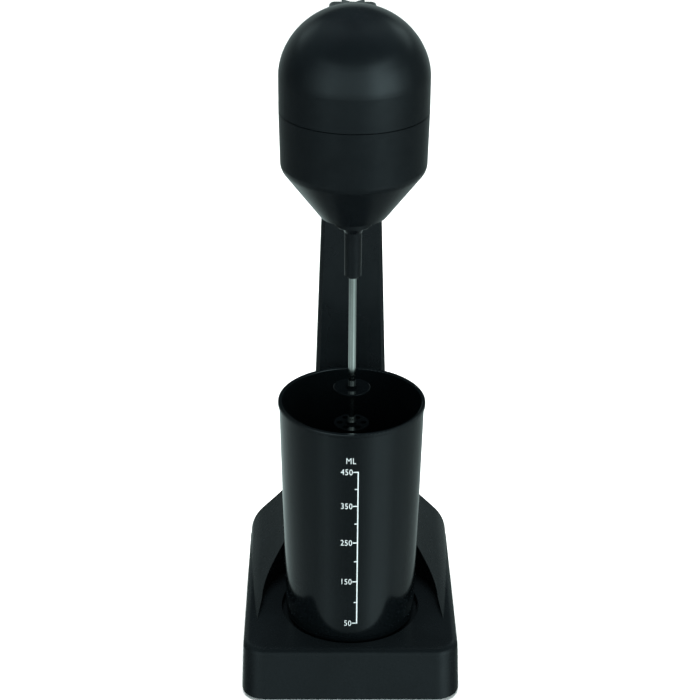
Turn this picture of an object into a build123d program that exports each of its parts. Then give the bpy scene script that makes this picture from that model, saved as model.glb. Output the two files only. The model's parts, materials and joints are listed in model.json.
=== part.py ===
"""Stand mixer for frothing milk: a cup on a weighted base, a motor head on a column.

Millimetres, +Z up, front towards -Y.  The origin is the middle of the footprint at table level.
"""
import os
from math import atan2, degrees
from build123d import *

# ---------------------------------------------------------------- driving dimensions
BASE_WIDTH = 121.0          # footprint, left to right
BASE_DEPTH = 148.0          # footprint, front to rear
SPINDLE_Y = -21.5           # spindle and cup axis, ahead of the footprint's middle
FEET_HEIGHT = 2.0
BASE_TOP = 30.0             # flat top of the base
HEAD_TOP = 380.0            # crown of the dome
HEAD_RADIUS = 38.2
HEAD_SEAM = 326.5           # joint between the dome cap and the lower housing
CUP_RIM_Z = 162.0
CUP_RIM_RADIUS = 40.0
CUP_FLOOR_Z = 26.5          # floor of the round recess that the cup stands in

WALL = 2.4                  # moulded shells
SHELL_FIT = 0.3             # gap between separate mouldings
PLATE_GAP = 2.0             # clearance of the base plate inside the leaning walls

# base
BASE_CORNER = 13.0
BASE_TOP_WIDTH = 119.4
FRONT_RAKE = 7.2            # how far the front face leans back
REAR_RAKE = 3.0
TOP_EDGE = 4.5
RECESS_RADIUS = 39.0
RECESS_PLATE = 2.5
RECESS_RIM = 2.5

# foot of the column: a flared wedge that falls towards the front and is hollowed round the cup
FOOT_REAR = SPINDLE_Y + 86.0
FOOT_RUN = 124.0            # how far its wings reach forward
FOOT_FALL = 0.12            # fall of the wings per mm forward
FOOT_HALF_WIDTH = 59.6
FOOT_SHOULDER_Z = 25.0
FOOT_SHOULDER_RADIUS = 25.0
FOOT_FLANK_RUN = 11.4
FOOT_FLARE_RADIUS = 80.0
FOOT_TOP = 118.0
FOOT_SPARE = 20.0           # extra height before the sloping top is cut level
FLANK_ANGLE = 45.0
CRADLE_RADIUS = 50.3        # hollow round the cup
CRADLE_FRONT_HALF = 61.0    # the hollow widens to this at the front

# column
COLUMN_FRONT = SPINDLE_Y + 50.0
COLUMN_REAR = SPINDLE_Y + 86.0
COLUMN_SEAM = SPINDLE_Y + 69.0
COLUMN_TOP = 354.6
COLUMN_HALF_BOTTOM = 20.8
COLUMN_HALF_TOP = 12.8
COLUMN_BEVEL = 2.0
MIN_BEVEL = 0.5
TONGUE_DEPTH = 12.0
CAP_THICKNESS = 4.0
CAP_EDGE = 2.4

# switch on top of the column
SWITCH_Y = SPINDLE_Y + 70.0
SWITCH_LENGTH = 16.2
SWITCH_WIDTH = 12.0
SWITCH_DEPTH = 14.0
APERTURE_LENGTH = 13.4
APERTURE_WIDTH = 9.8
APERTURE_FIT = 0.2
BEZEL_CORNER = 1.0
BEZEL_HEIGHT = 1.0
ROCKER_LENGTH = 13.2
ROCKER_WIDTH = 7.6
ROCKER_GAP = 0.4
ROCKER_WELL = 5.0
ROCKER_HORN = 1.6            # depth of the V between the rocker's raised ends
ROCKER_TIP = 4.0             # height of those ends above the cap
ROCKER_TIP_LENGTH = 1.0
ROCKER_TAPER = 0.4
ROCKER_KEEL = 1.6
ROCKER_KEEL_DEPTH = 2.4
ROCKER_EDGE = 0.4
ROCKER_SINK = 0.6            # pivot below the cap's top

# head
DOME_START = 344.0          # the wall is upright up to here
DOME_SIDE = 32.0            # radius where the wall turns into the dome
DOME_REACH = HEAD_RADIUS - DOME_SIDE
DOME_RISE = HEAD_TOP - DOME_START
DOME_CROWN = (DOME_REACH ** 2 + DOME_RISE ** 2 - DOME_SIDE ** 2) / (2 * (DOME_RISE - DOME_SIDE))
DOME_TURN = degrees(atan2(DOME_CROWN - DOME_RISE, DOME_REACH))
CONE_BOTTOM_Z = 270.2
CONE_BOTTOM_RADIUS = 17.6
CONE_TOP_Z = 294.5
CONE_TOP_RADIUS = 36.0
LOWER_EDGE_Z = 298.5
LOWER_EDGE_RADIUS = 37.6
CONE_INSET = 0.78           # share of an inset taken radially by the cone
CONE_LIFT = 0.62            # and upwards at the cone's top
EDGE_LIFT = 0.3             # and upwards at the rounded lower edge
SEAM_CHAMFER = 0.5
DOME_BOSS = 12.0
DOME_PILOT = 9.0
SEAL_RADIUS = 11.4
NECK_BOTTOM = 302.0
NECK_TOP = 342.0
WIRE_HOLE = 5.0
WIRE_Z = 314.0
VENT_COUNT = 4
VENT_STEP = 9.0
VENT_START = 27.0
VENT_WIDTH = 2.0
VENT_HEIGHT = 12.0
VENT_Z = 339.0

# motor
STATOR_RADIUS = 29.0
STATOR_BORE = 16.2
STACK_BOTTOM = 300.0
STACK_TOP = 326.0
ARMATURE_RADIUS = 15.7
ARMATURE_SLOTS = 12
SHAFT_RADIUS = 2.5
SHAFT_CHAMFER = 0.4
SHAFT_BOTTOM = 264.0
SHAFT_TOP = 372.0
RUNNING_FIT = 0.03
BUSH_RADIUS = 6.5
BOSS_RADIUS = 9.5
BRACKET_RADIUS = 28.0
BRACKET_SIDE = 26.0
BRACKET_ARM = 14.0
BRACKET_THICKNESS = 3.0
LOWER_BRACKET_Z = 290.0
UPPER_BRACKET_Z = 352.0
BOLT_REACH = 25.5           # through-bolts stand this far from the shaft
BOLT_RADIUS = 1.5
BOLT_HOLE = 1.6
POST_RADIUS = 3.4
COMMUTATOR_RADIUS = 9.0
COMMUTATOR_BOTTOM = 338.0
COMMUTATOR_TOP = 349.0
COMMUTATOR_BARS = 16
COMMUTATOR_NECK = 7.0
BAR_SLOT_DEPTH = 1.6
BAR_SLOT_WIDTH = 0.5
BRUSH_Z = 344.0
BRUSH_SIZE = 5.0
BRUSH_TIP = COMMUTATOR_RADIUS + 0.3
BRUSH_LENGTH = 7.0
HOLDER_INNER = 11.0
HOLDER_OUTER = 25.0
HOLDER_WIDTH = 8.0
HOLDER_BACK = 2.0
BRUSH_CHANNEL = BRUSH_SIZE + 0.2
SPRING_RADIUS = 1.7
SPRING_WIRE = 0.3
SPRING_PITCH = 1.6
FAN_RADIUS = 15.0
FAN_BOTTOM = 364.0
FAN_BLADES = 9

# spindle
SPINDLE_RADIUS = 2.0
ROD_EDGE = 0.8
SPINDLE_TIP = 142.0
SPINDLE_TOP = 262.0
SLEEVE_BOTTOM = 235.0
SLEEVE_RADIUS = 4.6
SLEEVE_TIP_RADIUS = 4.45
COUPLING_FIT = 0.05
FLANGE_RADIUS = 9.8
FLANGE_BOTTOM = 264.4
FLANGE_TOP = 268.0
HUB_RADIUS = 6.0
HUB_TOP = 280.0
SPLASH_DISC_RADIUS = 10.0
SPLASH_DISC_Z = 168.6
WHISK_RADIUS = 9.6
WHISK_Z = 146.6
WHISK_HOLES = 6
WHISK_HOLE = 1.7
WHISK_HUB_DROP = 1.2

# cup
CUP_FOOT_RADIUS = 36.3
CUP_WALL = 1.5
CUP_BASE = 2.2

# fasteners and feet
SCREW_RADIUS = 1.45
PILOT_RADIUS = 1.5
SCREW_HEAD_RADIUS = 2.9
SCREW_HEAD = 1.8
CROSS_LENGTH = 3.2           # cross slot in a screw head
CROSS_WIDTH = 0.8
BOSS = 3.6
FOOT_X = 46.0
FOOT_Y = 58.0
FOOT_PAD_RADIUS = 7.0
FOOT_PAD_EDGE = 0.6
BASE_SCREW_X = 50.0
BASE_SCREW_Y = 44.0
COLUMN_SCREW_HEIGHTS = (150.0, 240.0, 330.0)
GLAND_Z = 13.0
GLAND_BORE = 3.3
GLAND_BODY = 5.5
GLAND_FLANGE = 7.5

SECTION = Plane(origin=(0, SPINDLE_Y, 0), x_dir=(1, 0, 0), z_dir=(0, -1, 0))
SPINDLE_AXIS = Axis((0, SPINDLE_Y, 0), (0, 0, 1))

os.makedirs("parts", exist_ok=True)


def save(piece, label):
    """Label a finished piece and write its STEP file."""
    piece.part.label = label
    export_step(piece.part, f"parts/{label}.step")


def level(height):
    """Horizontal plane at a height, centred on the spindle axis."""
    return Plane(origin=(0, SPINDLE_Y, height))


def spun(outline):
    """Revolve a closed outline of (radius, height) points about the spindle axis."""
    with BuildSketch(SECTION) as profile:
        with BuildLine():
            Polyline(*outline, close=True)
        make_face()
    return revolve(profile.sketch, axis=SPINDLE_AXIS, mode=Mode.PRIVATE)


# ---------------------------------------------------------------- base
def base_form(inset):
    """Base block with a leaning front and rounded corners, inset all round."""
    top_depth = BASE_DEPTH - FRONT_RAKE - REAR_RAKE
    top_y = (FRONT_RAKE - REAR_RAKE) / 2
    with BuildPart() as form:
        with BuildSketch(Plane.XY.offset(FEET_HEIGHT)):
            RectangleRounded(BASE_WIDTH - 2 * inset, BASE_DEPTH - 2 * inset, BASE_CORNER - inset)
        with BuildSketch(Plane(origin=(0, top_y, BASE_TOP - inset))):
            RectangleRounded(BASE_TOP_WIDTH - 2 * inset, top_depth - 2 * inset, BASE_CORNER - inset)
        loft()
    return form.part


def foot_profile(inset):
    """Rear outline of the column's foot: shoulders, sloping flanks and a hollow flare."""
    half = FOOT_HALF_WIDTH - inset
    top_z = FOOT_TOP + FOOT_SPARE
    with BuildSketch(Plane(origin=(0, FOOT_REAR - inset, 0), x_dir=(1, 0, 0), z_dir=(0, -1, 0))) as face:
        with BuildLine():
            side = Line((half, FEET_HEIGHT), (half, FOOT_SHOULDER_Z))
            shoulder = JernArc(side @ 1, side % 1, FOOT_SHOULDER_RADIUS - inset, FLANK_ANGLE)
            flank = PolarLine(shoulder @ 1, FOOT_FLANK_RUN, direction=shoulder % 1)
            flare = JernArc(flank @ 1, flank % 1, FOOT_FLARE_RADIUS + inset, -FLANK_ANGLE)
            neck = Line(flare @ 1, ((flare @ 1).X, top_z))
            top = Line(neck @ 1, (0, top_z))
            Line(top @ 1, (0, FEET_HEIGHT))
            Line((0, FEET_HEIGHT), side @ 0)
        make_face()
        mirror(about=Plane.YZ)
    return face.sketch


def foot_form(inset):
    """Foot and wings, hollowed round the cup and cut level at the top, inset all round."""
    with BuildPart() as form:
        add(extrude(foot_profile(inset), amount=FOOT_RUN, dir=(0, -1, -FOOT_FALL), mode=Mode.PRIVATE))
        with BuildSketch(level(BASE_TOP - inset)):
            Circle(CRADLE_RADIUS + inset)
            with BuildLine():
                Polyline((-CRADLE_RADIUS - inset, 0), (CRADLE_RADIUS + inset, 0),
                         (CRADLE_FRONT_HALF + inset, -BASE_DEPTH / 2),
                         (-CRADLE_FRONT_HALF - inset, -BASE_DEPTH / 2), close=True)
            make_face()
        extrude(amount=FOOT_TOP + FOOT_SPARE, mode=Mode.SUBTRACT)
        split(bisect_by=Plane.XY.offset(FEET_HEIGHT), keep=Keep.TOP)
    return form.part


with BuildPart() as base_shell:
    add(base_form(0))
    fillet(base_shell.edges().group_by(Axis.Z)[-1], TOP_EDGE)
    add(foot_form(0))
    split(bisect_by=Plane.XY.offset(FOOT_TOP), keep=Keep.BOTTOM)
    add(base_form(WALL), mode=Mode.SUBTRACT)
    add(foot_form(WALL), mode=Mode.SUBTRACT)
    with BuildSketch(level(CUP_FLOOR_Z - RECESS_PLATE)):
        Circle(RECESS_RADIUS + RECESS_RIM)
    extrude(amount=BASE_TOP - WALL - CUP_FLOOR_Z + RECESS_PLATE)
    with BuildSketch(level(CUP_FLOOR_Z)):
        Circle(RECESS_RADIUS)
    extrude(amount=BASE_TOP, mode=Mode.SUBTRACT)
    with BuildSketch(Plane.XY.offset(FEET_HEIGHT + WALL)):
        with GridLocations(2 * BASE_SCREW_X, 2 * BASE_SCREW_Y, 2, 2):
            Circle(BOSS)
    extrude(until=Until.NEXT)
    with BuildSketch(Plane.XY.offset(FEET_HEIGHT)):
        with GridLocations(2 * BASE_SCREW_X, 2 * BASE_SCREW_Y, 2, 2):
            Circle(PILOT_RADIUS)
    extrude(amount=BASE_TOP - FEET_HEIGHT - 3 * WALL, mode=Mode.SUBTRACT)
    with BuildSketch(Plane(origin=(0, BASE_DEPTH / 2, GLAND_Z), x_dir=(1, 0, 0), z_dir=(0, 1, 0))):
        Circle(GLAND_BODY)
    extrude(amount=-3 * WALL, mode=Mode.SUBTRACT)
save(base_shell, "base_shell")

with BuildPart() as base_plate:
    with BuildSketch(Plane.XY.offset(FEET_HEIGHT)):
        RectangleRounded(BASE_WIDTH - 2 * WALL - PLATE_GAP, BASE_DEPTH - 2 * WALL - PLATE_GAP,
                         BASE_CORNER - WALL)
    extrude(amount=WALL)
    with Locations((0, 0, FEET_HEIGHT)):
        with GridLocations(2 * BASE_SCREW_X, 2 * BASE_SCREW_Y, 2, 2):
            Cylinder(SCREW_HEAD_RADIUS + SHELL_FIT, SCREW_HEAD,
                     align=(Align.CENTER, Align.CENTER, Align.MIN), mode=Mode.SUBTRACT)
            Cylinder(PILOT_RADIUS, 2 * WALL, mode=Mode.SUBTRACT)
save(base_plate, "base_plate")

BALLAST_Z = FEET_HEIGHT + WALL
BALLAST_THICKNESS = 6.0
BALLAST_WIDTH = 84.0
BALLAST_DEPTH = 76.0
BALLAST_CORNER = 8.0
BALLAST_EDGE = 1.0
with BuildPart() as ballast_plate:
    with BuildSketch(level(BALLAST_Z)):
        RectangleRounded(BALLAST_WIDTH, BALLAST_DEPTH, BALLAST_CORNER)
    extrude(amount=BALLAST_THICKNESS)
    fillet(ballast_plate.faces().sort_by(Axis.Z)[-1].edges(), BALLAST_EDGE)
save(ballast_plate, "ballast_plate")

with BuildPart() as rubber_feet:
    with BuildSketch(Plane.XY):
        with GridLocations(2 * FOOT_X, 2 * FOOT_Y, 2, 2):
            Circle(FOOT_PAD_RADIUS)
    extrude(amount=FEET_HEIGHT)
    fillet(rubber_feet.edges().group_by(Axis.Z)[0], FOOT_PAD_EDGE)
save(rubber_feet, "rubber_feet")


def screw(plane, length):
    """Pan-head self-tapping screw whose head seats on a plane and whose shank runs along its normal."""
    with BuildPart(plane) as body:
        Cylinder(SCREW_RADIUS, length, align=(Align.CENTER, Align.CENTER, Align.MIN))
        Cylinder(SCREW_HEAD_RADIUS, SCREW_HEAD, align=(Align.CENTER, Align.CENTER, Align.MAX))
        with Locations((0, 0, -SCREW_HEAD)):
            Box(CROSS_LENGTH, CROSS_WIDTH, SCREW_HEAD, mode=Mode.SUBTRACT)
            Box(CROSS_WIDTH, CROSS_LENGTH, SCREW_HEAD, mode=Mode.SUBTRACT)
    return body.part


BASE_SCREW_LENGTH = 12.0
with BuildPart() as base_screws:
    for x in (-BASE_SCREW_X, BASE_SCREW_X):
        for y in (-BASE_SCREW_Y, BASE_SCREW_Y):
            add(screw(Plane(origin=(x, y, FEET_HEIGHT + SCREW_HEAD)), BASE_SCREW_LENGTH))
save(base_screws, "base_screws")

GLAND_PLANE = Plane(origin=(0, BASE_DEPTH / 2, GLAND_Z), x_dir=(1, 0, 0), z_dir=(0, 1, 0))
GLAND_LENGTH = 8.0
with BuildPart(GLAND_PLANE) as cord_gland:
    Cylinder(GLAND_BODY - SHELL_FIT / 3, GLAND_LENGTH, align=(Align.CENTER, Align.CENTER, Align.MAX))
    with Locations((0, 0, -GLAND_LENGTH)):
        Cylinder(GLAND_FLANGE, WALL, align=(Align.CENTER, Align.CENTER, Align.MIN))
    Hole(GLAND_BORE)
save(cord_gland, "cord_gland")

WIRING_Y = 48.0
TERMINAL_WIDTH = 24.0
TERMINAL_DEPTH = 10.0
TERMINAL_HEIGHT = 9.0
TERMINAL_PITCH = 8.0
TERMINAL_HOLE = 2.0
TERMINAL_HOLE_DEPTH = 6.0
with BuildPart() as terminal_block:
    with BuildSketch(Plane(origin=(0, WIRING_Y, BALLAST_Z))):
        Rectangle(TERMINAL_WIDTH, TERMINAL_DEPTH)
    extrude(amount=TERMINAL_HEIGHT)
    with BuildSketch(Plane(origin=(0, WIRING_Y, BALLAST_Z + TERMINAL_HEIGHT))):
        with GridLocations(TERMINAL_PITCH, 0, 3, 1):
            Circle(TERMINAL_HOLE)
    extrude(amount=-TERMINAL_HOLE_DEPTH, mode=Mode.SUBTRACT)
save(terminal_block, "terminal_block")

CAPACITOR_X = 30.0
CAPACITOR_WIDTH = 18.0
CAPACITOR_DEPTH = 9.0
CAPACITOR_HEIGHT = 14.0
CAPACITOR_EDGE = 1.0
with BuildPart() as suppression_capacitor:
    with BuildSketch(Plane(origin=(CAPACITOR_X, WIRING_Y, BALLAST_Z))):
        RectangleRounded(CAPACITOR_WIDTH, CAPACITOR_DEPTH, CAPACITOR_EDGE)
    extrude(amount=CAPACITOR_HEIGHT)
save(suppression_capacitor, "suppression_capacitor")


# ---------------------------------------------------------------- column
def column_half_width(height):
    """Half width of the column's front face, which narrows evenly upwards."""
    climb = (height - FOOT_TOP) / (COLUMN_TOP - FOOT_TOP)
    return COLUMN_HALF_BOTTOM + climb * (COLUMN_HALF_TOP - COLUMN_HALF_BOTTOM)


def column_section(height, inset):
    """Column outline at a height: bevelled corners, inset all round."""
    half = column_half_width(height) - inset
    front = COLUMN_FRONT + inset
    rear = COLUMN_REAR - inset
    bevel = max(COLUMN_BEVEL - inset / 2, MIN_BEVEL)
    right = [(half - bevel, front), (half, front + bevel), (half, rear - bevel), (half - bevel, rear)]
    left = [(-x, y) for x, y in reversed(right)]
    with BuildSketch(Plane.XY.offset(height)) as section:
        with BuildLine():
            Polyline(*right, *left, close=True)
        make_face()
    return section.sketch


def column_form(inset, bottom, top):
    """Tapering column between two heights, inset all round."""
    return loft([column_section(bottom, inset), column_section(top, inset)], mode=Mode.PRIVATE)


TONGUE_BOTTOM = FOOT_TOP - TONGUE_DEPTH
TONGUE_INSET = WALL + 2 * SHELL_FIT
COLUMN_SCREW_LENGTH = 26.0
with BuildPart() as column_front_shell:
    add(column_form(0, FOOT_TOP, COLUMN_TOP))
    add(column_form(TONGUE_INSET, TONGUE_BOTTOM, FOOT_TOP))
    add(column_form(TONGUE_INSET + WALL, TONGUE_BOTTOM - 1, FOOT_TOP + 1), mode=Mode.SUBTRACT)
    add(column_form(WALL, FOOT_TOP + WALL, COLUMN_TOP + 1), mode=Mode.SUBTRACT)
    split(bisect_by=Plane.XZ.offset(-COLUMN_SEAM), keep=Keep.TOP)
    with BuildSketch(Plane.XZ.offset(-COLUMN_SEAM)):
        for height in COLUMN_SCREW_HEIGHTS:
            with Locations((0, height)):
                Circle(BOSS)
    extrude(amount=COLUMN_SEAM - COLUMN_FRONT - WALL)
    with BuildSketch(Plane.XZ.offset(-COLUMN_SEAM)):
        for height in COLUMN_SCREW_HEIGHTS:
            with Locations((0, height)):
                Circle(PILOT_RADIUS)
    extrude(amount=COLUMN_SEAM - COLUMN_FRONT - 2 * WALL, mode=Mode.SUBTRACT)
    with BuildSketch(Plane.XZ.offset(-COLUMN_FRONT - WALL)):
        with Locations((0, WIRE_Z)):
            Circle(WIRE_HOLE)
    extrude(amount=2 * WALL, mode=Mode.SUBTRACT)
save(column_front_shell, "column_front_shell")

SCREW_SINK = 0.4
SCREW_SEAT = COLUMN_REAR - SCREW_HEAD - SCREW_SINK
with BuildPart() as column_rear_cover:
    add(column_form(0, FOOT_TOP, COLUMN_TOP))
    add(column_form(WALL, FOOT_TOP + WALL, COLUMN_TOP + 1), mode=Mode.SUBTRACT)
    split(bisect_by=Plane.XZ.offset(-COLUMN_SEAM), keep=Keep.BOTTOM)
    with BuildSketch(Plane.XZ.offset(-COLUMN_REAR)):
        for height in COLUMN_SCREW_HEIGHTS:
            with Locations((0, height)):
                Circle(BOSS + SHELL_FIT)
    extrude(amount=COLUMN_REAR - COLUMN_SEAM)
    with BuildSketch(Plane.XZ.offset(-COLUMN_REAR)):
        for height in COLUMN_SCREW_HEIGHTS:
            with Locations((0, height)):
                Circle(PILOT_RADIUS)
    extrude(amount=COLUMN_REAR - COLUMN_SEAM, mode=Mode.SUBTRACT)
    with BuildSketch(Plane.XZ.offset(-COLUMN_REAR)):
        for height in COLUMN_SCREW_HEIGHTS:
            with Locations((0, height)):
                Circle(SCREW_HEAD_RADIUS + SHELL_FIT)
    extrude(amount=COLUMN_REAR - SCREW_SEAT, mode=Mode.SUBTRACT)
save(column_rear_cover, "column_rear_cover")

with BuildPart() as column_screws:
    for height in COLUMN_SCREW_HEIGHTS:
        add(screw(Plane(origin=(0, SCREW_SEAT, height), x_dir=(1, 0, 0), z_dir=(0, -1, 0)),
                  COLUMN_SCREW_LENGTH))
save(column_screws, "column_screws")

with BuildPart() as column_cap:
    add(column_form(0, COLUMN_TOP, COLUMN_TOP + CAP_THICKNESS))
    fillet(column_cap.faces().sort_by(Axis.Z)[-1].edges(), CAP_EDGE)
    with BuildSketch(Plane(origin=(0, SWITCH_Y, COLUMN_TOP))):
        Rectangle(APERTURE_LENGTH, APERTURE_WIDTH)
    extrude(amount=CAP_THICKNESS, mode=Mode.SUBTRACT)
save(column_cap, "column_cap")

CAP_TOP = COLUMN_TOP + CAP_THICKNESS
BODY_LENGTH = APERTURE_LENGTH - APERTURE_FIT
BODY_WIDTH = APERTURE_WIDTH - APERTURE_FIT
ROCKER_FLOOR = CAP_TOP - ROCKER_WELL
with BuildPart() as switch_body:
    with BuildSketch(Plane(origin=(0, SWITCH_Y, CAP_TOP - SWITCH_DEPTH))):
        Rectangle(BODY_LENGTH, BODY_WIDTH)
    extrude(amount=SWITCH_DEPTH)
    with BuildSketch(Plane(origin=(0, SWITCH_Y, CAP_TOP))):
        RectangleRounded(SWITCH_LENGTH, SWITCH_WIDTH, BEZEL_CORNER)
    extrude(amount=BEZEL_HEIGHT)
    with BuildSketch(Plane(origin=(0, SWITCH_Y, ROCKER_FLOOR))):
        Rectangle(ROCKER_LENGTH, ROCKER_WIDTH + 2 * ROCKER_GAP)
    extrude(amount=SWITCH_DEPTH, mode=Mode.SUBTRACT)
save(switch_body, "switch_body")

# The rocker is a shallow V: both ends stand proud when the switch is off.
ROCKER_PIVOT_Z = CAP_TOP - ROCKER_SINK
ROCKER_HALF = ROCKER_LENGTH / 2 - ROCKER_GAP
ROCKER_TIP_Z = CAP_TOP + ROCKER_TIP
with BuildPart() as switch_rocker:
    with BuildSketch(Plane(origin=(0, SWITCH_Y + ROCKER_WIDTH / 2, 0), x_dir=(1, 0, 0), z_dir=(0, -1, 0))):
        with BuildLine():
            Polyline((-ROCKER_HALF, ROCKER_TIP_Z), (-ROCKER_HALF + ROCKER_TIP_LENGTH, ROCKER_TIP_Z),
                     (0, ROCKER_TIP_Z - ROCKER_HORN), (ROCKER_HALF - ROCKER_TIP_LENGTH, ROCKER_TIP_Z),
                     (ROCKER_HALF, ROCKER_TIP_Z), (ROCKER_HALF - ROCKER_TAPER, ROCKER_PIVOT_Z),
                     (ROCKER_KEEL, ROCKER_PIVOT_Z - ROCKER_KEEL_DEPTH),
                     (-ROCKER_KEEL, ROCKER_PIVOT_Z - ROCKER_KEEL_DEPTH),
                     (-ROCKER_HALF + ROCKER_TAPER, ROCKER_PIVOT_Z), close=True)
        make_face()
    extrude(amount=ROCKER_WIDTH)
    fillet(switch_rocker.edges().filter_by(Axis.Y).group_by(Axis.Z)[-1], ROCKER_EDGE)
save(switch_rocker, "switch_rocker")


# ---------------------------------------------------------------- head
def head_outline(inset):
    """Half outline of the whole head: cone, rounded lower edge, upright wall and dome."""
    with BuildSketch(SECTION) as face:
        with BuildLine():
            start = (0, CONE_BOTTOM_Z + inset)
            shrink = inset * CONE_INSET
            cone_low = (CONE_BOTTOM_RADIUS - shrink / 2, CONE_BOTTOM_Z + inset)
            cone_high = (CONE_TOP_RADIUS - shrink, CONE_TOP_Z + inset * CONE_LIFT)
            edge = (LOWER_EDGE_RADIUS - inset, LOWER_EDGE_Z + inset * EDGE_LIFT)
            seam = (HEAD_RADIUS - inset, HEAD_SEAM)
            wall = (HEAD_RADIUS - inset, DOME_START)
            floor = Line(start, cone_low)
            cone = Line(floor @ 1, cone_high)
            round_edge = TangentArc(cone_high, edge, tangent=cone % 1)
            lower = Line(round_edge @ 1, seam)
            Line(lower @ 1, wall)
            CenterArc((DOME_REACH, DOME_START), DOME_SIDE - inset, 0, DOME_TURN)
            CenterArc((0, HEAD_TOP - DOME_CROWN), DOME_CROWN - inset, DOME_TURN, 90 - DOME_TURN)
            Line((0, HEAD_TOP - inset), start)
        make_face()
    return face.sketch


def head_form(inset):
    """Solid of the whole head, inset all round."""
    return revolve(head_outline(inset), axis=SPINDLE_AXIS, mode=Mode.PRIVATE)


HOUSING_SCREW_ANGLES = (50.0, 130.0)
HOUSING_SCREW_REACH = 32.7
HOUSING_BOSS = 3.2
HOUSING_SCREW_SEAT = 297.0
HOUSING_SCREW_LENGTH = 36.0
WIRE_PLANE = Plane(origin=(0, COLUMN_FRONT, WIRE_Z), x_dir=(1, 0, 0), z_dir=(0, -1, 0))


with BuildPart() as lower_housing:
    add(head_form(0))
    add(head_form(WALL), mode=Mode.SUBTRACT)
    split(bisect_by=Plane.XY.offset(HEAD_SEAM), keep=Keep.BOTTOM)
    with BuildSketch(level(HEAD_SEAM)):
        for angle in HOUSING_SCREW_ANGLES:
            with Locations(Vector(HOUSING_SCREW_REACH, 0).rotate(Axis.Z, angle)):
                Circle(HOUSING_BOSS)
    extrude(amount=-(HEAD_SEAM - HOUSING_SCREW_SEAT))
    with BuildSketch(level(HEAD_SEAM)):
        for angle in HOUSING_SCREW_ANGLES:
            with Locations(Vector(HOUSING_SCREW_REACH, 0).rotate(Axis.Z, angle)):
                Circle(PILOT_RADIUS)
    extrude(amount=-(HEAD_SEAM - CONE_BOTTOM_Z), mode=Mode.SUBTRACT)
    with BuildSketch(level(HOUSING_SCREW_SEAT)):
        for angle in HOUSING_SCREW_ANGLES:
            with Locations(Vector(HOUSING_SCREW_REACH, 0).rotate(Axis.Z, angle)):
                Circle(SCREW_HEAD_RADIUS + SHELL_FIT / 3)
    extrude(amount=-(HOUSING_SCREW_SEAT - CONE_BOTTOM_Z), mode=Mode.SUBTRACT)
    with BuildSketch(level(CONE_BOTTOM_Z)):
        Circle(SEAL_RADIUS)
    extrude(amount=2 * WALL, mode=Mode.SUBTRACT)
    with BuildSketch(WIRE_PLANE):
        Circle(WIRE_HOLE)
    extrude(amount=COLUMN_FRONT - SPINDLE_Y - STATOR_RADIUS, mode=Mode.SUBTRACT)
save(lower_housing, "lower_housing")

with BuildPart() as dome_cap:
    add(head_form(0))
    add(head_form(WALL), mode=Mode.SUBTRACT)
    split(bisect_by=Plane.XY.offset(HEAD_SEAM), keep=Keep.TOP)
    chamfer(dome_cap.faces().sort_by(Axis.Z)[0].outer_wire().edges(), SEAM_CHAMFER)
    with BuildSketch(level(HEAD_SEAM)):
        for angle in HOUSING_SCREW_ANGLES:
            with Locations(Vector(HOUSING_SCREW_REACH, 0).rotate(Axis.Z, angle)):
                Circle(HOUSING_BOSS)
    extrude(amount=DOME_BOSS)
    with BuildSketch(level(HEAD_SEAM)):
        for angle in HOUSING_SCREW_ANGLES:
            with Locations(Vector(HOUSING_SCREW_REACH, 0).rotate(Axis.Z, angle)):
                Circle(PILOT_RADIUS)
    extrude(amount=DOME_PILOT, mode=Mode.SUBTRACT)
    for side in (0, 180):
        for slot in range(VENT_COUNT):
            turn = side + (1 if side == 0 else -1) * (VENT_START + slot * VENT_STEP)
            with Locations(level(VENT_Z) * Rotation(0, 0, turn) * Pos(HEAD_RADIUS, 0, 0)):
                Box(4 * WALL, VENT_WIDTH, VENT_HEIGHT, mode=Mode.SUBTRACT)
save(dome_cap, "dome_cap")

with BuildPart() as housing_screws:
    for angle in HOUSING_SCREW_ANGLES:
        spot = Vector(HOUSING_SCREW_REACH, 0, 0).rotate(Axis.Z, angle) + Vector(0, SPINDLE_Y, 0)
        add(screw(Plane(origin=(spot.X, spot.Y, HOUSING_SCREW_SEAT)), HOUSING_SCREW_LENGTH))
save(housing_screws, "housing_screws")

NECK_EDGE = 5.0
NECK_MARGIN = 1.0            # the neck is this much narrower than the column on each side
with BuildPart() as neck_duct:
    with BuildSketch(Plane(origin=(0, COLUMN_FRONT, (NECK_BOTTOM + NECK_TOP) / 2),
                           x_dir=(1, 0, 0), z_dir=(0, -1, 0))):
        RectangleRounded(2 * (column_half_width(NECK_TOP) - NECK_MARGIN), NECK_TOP - NECK_BOTTOM, NECK_EDGE)
    extrude(amount=COLUMN_FRONT - SPINDLE_Y - HEAD_RADIUS / 2)
    with BuildSketch(WIRE_PLANE):
        Circle(WIRE_HOLE)
    extrude(amount=COLUMN_FRONT - SPINDLE_Y, mode=Mode.SUBTRACT)
    add(head_form(0), mode=Mode.SUBTRACT)
save(neck_duct, "neck_duct")

SEAL_BORE = HUB_RADIUS + 0.6
SEAL_BODY = SEAL_RADIUS - 0.05
SEAL_FLANGE = SEAL_RADIUS + 2.0
SEAL_SINK = 0.2
with BuildPart() as shaft_seal:
    add(spun([(SEAL_BORE, CONE_BOTTOM_Z + SEAL_SINK), (SEAL_BODY, CONE_BOTTOM_Z + SEAL_SINK),
              (SEAL_BODY, CONE_BOTTOM_Z + WALL), (SEAL_FLANGE, CONE_BOTTOM_Z + WALL),
              (SEAL_FLANGE, CONE_BOTTOM_Z + 2 * WALL), (SEAL_BORE, CONE_BOTTOM_Z + 2 * WALL)]))
save(shaft_seal, "shaft_seal")


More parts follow.
